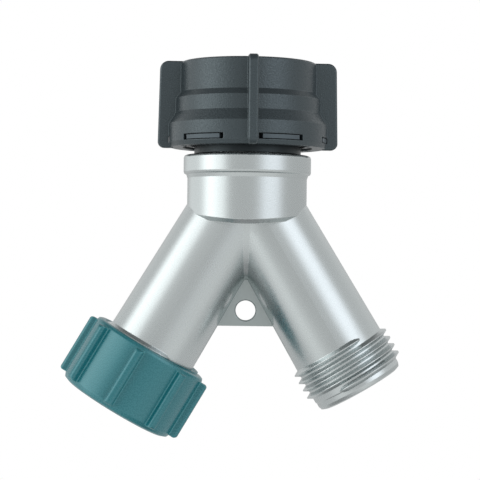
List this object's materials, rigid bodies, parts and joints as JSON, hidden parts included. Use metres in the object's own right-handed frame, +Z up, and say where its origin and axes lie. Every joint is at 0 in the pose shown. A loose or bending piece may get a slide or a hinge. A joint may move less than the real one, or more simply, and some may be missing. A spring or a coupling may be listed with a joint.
{
  "type": "garden hose y connector",
  "caption": "Two-way hose splitter: winged swivel nut on a satin zinc Y casting, one male threaded outlet open, the other closed by a ribbed screw cap.",
  "frame": {"origin": "on the inlet axis where the swivel nut's thread starts, 1 mm inside its mouth", "axes": "+Z up and out of the nut along the inlet axis; the two legs lie in the XZ plane, the open threaded outlet towards +X and the capped one towards -X; the front faces -Y"},
  "size_m": [0.0891, 0.0474, 0.099],
  "materials": {
    "zinc_casting": "satin, fine-blasted zinc die casting",
    "black_polymer": "moulded black polymer, semi-matte",
    "ring_polymer": "moulded black polymer",
    "washer_rubber": "moulded black rubber",
    "teal_polymer": "moulded teal polymer, semi-matte"
  },
  "bodies": {
    "nut": {"swivel_nut": "black_polymer", "retaining_ring": "ring_polymer", "hose_washer": "washer_rubber"},
    "casting": {"y_body": "zinc_casting"},
    "cap_seal": {"cap_washer": "washer_rubber"},
    "cap": {"outlet_cap": "teal_polymer"}
  },
  "joints": [
    {"name": "nut_swivel", "type": "hinge", "parent": "nut", "child": "casting", "pos_m": [0, 0, 0], "axis": [0, 0, 1], "continuous": true},
    {"name": "cap_travel", "type": "slide", "parent": "casting", "child": "cap_seal", "axis": [-0.5075, 0, -0.8616], "range_m": [0, 0.01325]},
    {"name": "cap_turn", "type": "hinge", "parent": "cap_seal", "child": "cap", "pos_m": [-0.03061, 0, -0.08436], "axis": [-0.5075, 0, -0.8616], "range_deg": [0, 2160]}
  ],
  "couplings": [
    {"joint": "cap_travel", "follows": "cap_turn", "m_per_rad": 0.00035152}
  ]
}
